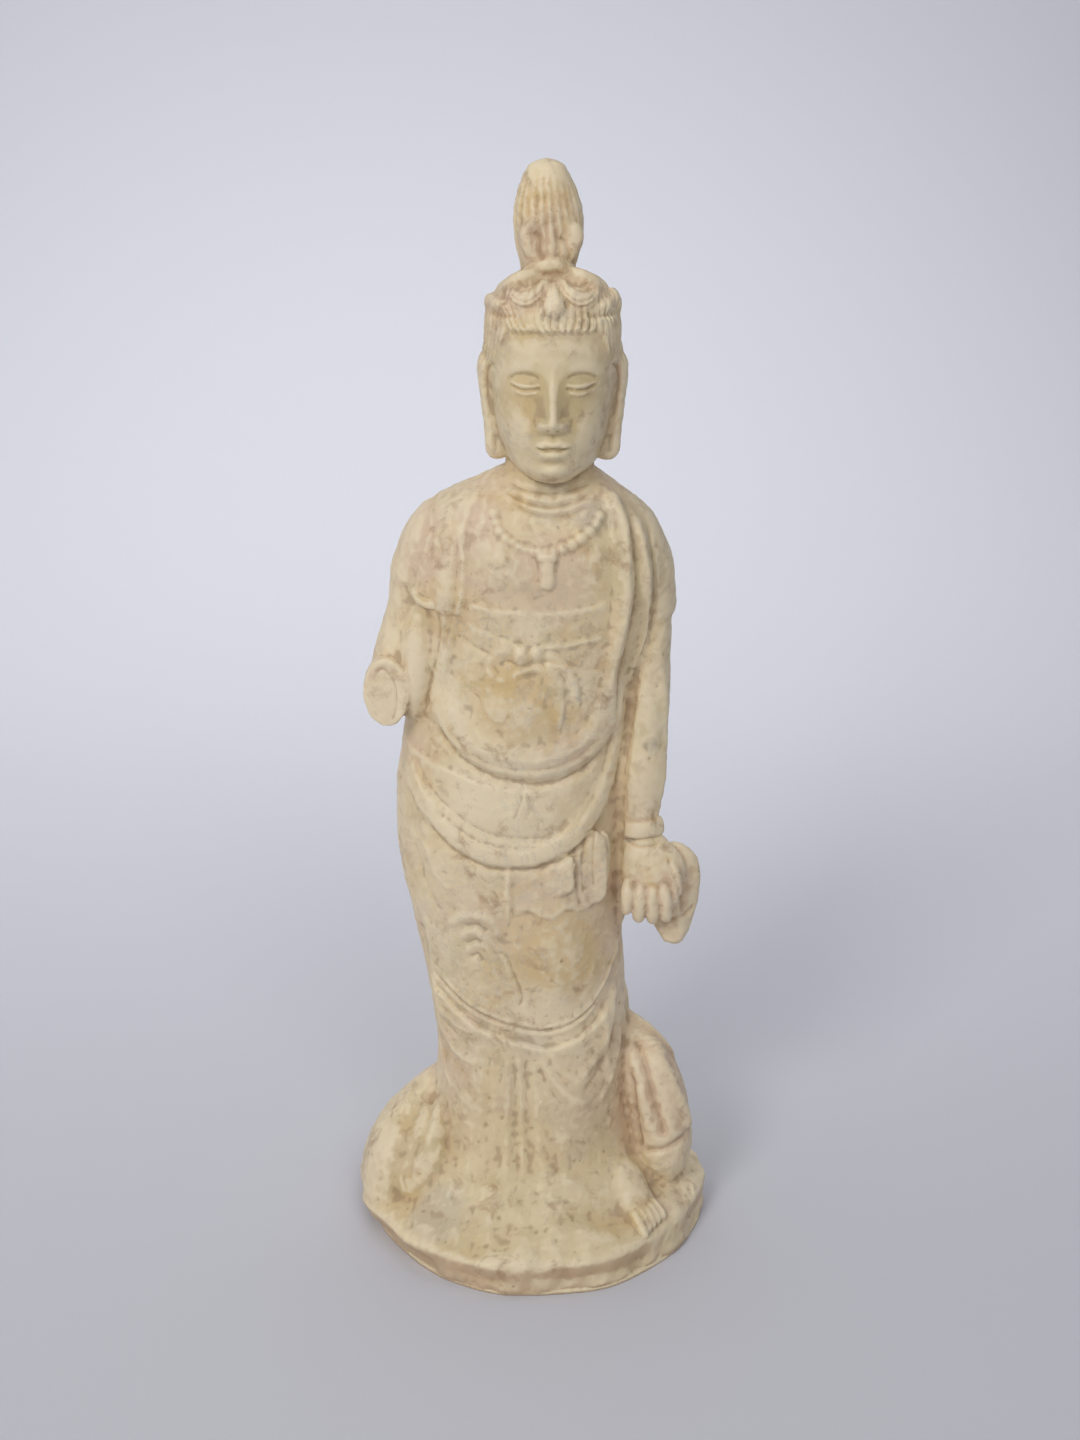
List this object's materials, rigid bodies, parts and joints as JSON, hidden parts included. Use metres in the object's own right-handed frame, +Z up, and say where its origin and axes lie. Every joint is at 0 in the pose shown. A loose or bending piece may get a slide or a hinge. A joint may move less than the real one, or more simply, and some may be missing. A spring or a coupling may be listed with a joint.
{
  "type": "marble statuette",
  "caption": "Standing robed figure with a topknot, a broken right arm and a thick leaf in the left hand, carved in one with a low rounded rock that it stands on.",
  "frame": {"origin": "on the flat underside of the rock, under the middle of its rim", "axes": "+Z up, the figure faces -Y, and its own left hand is on the +X side"},
  "size_m": [0.1425, 0.14, 0.42],
  "materials": {
    "marble": "worn polish, warm cream with ochre stains, small dark pits and dirt in the folds"
  },
  "bodies": {
    "root": {"marble_statuette": "marble"}
  },
  "joints": []
}
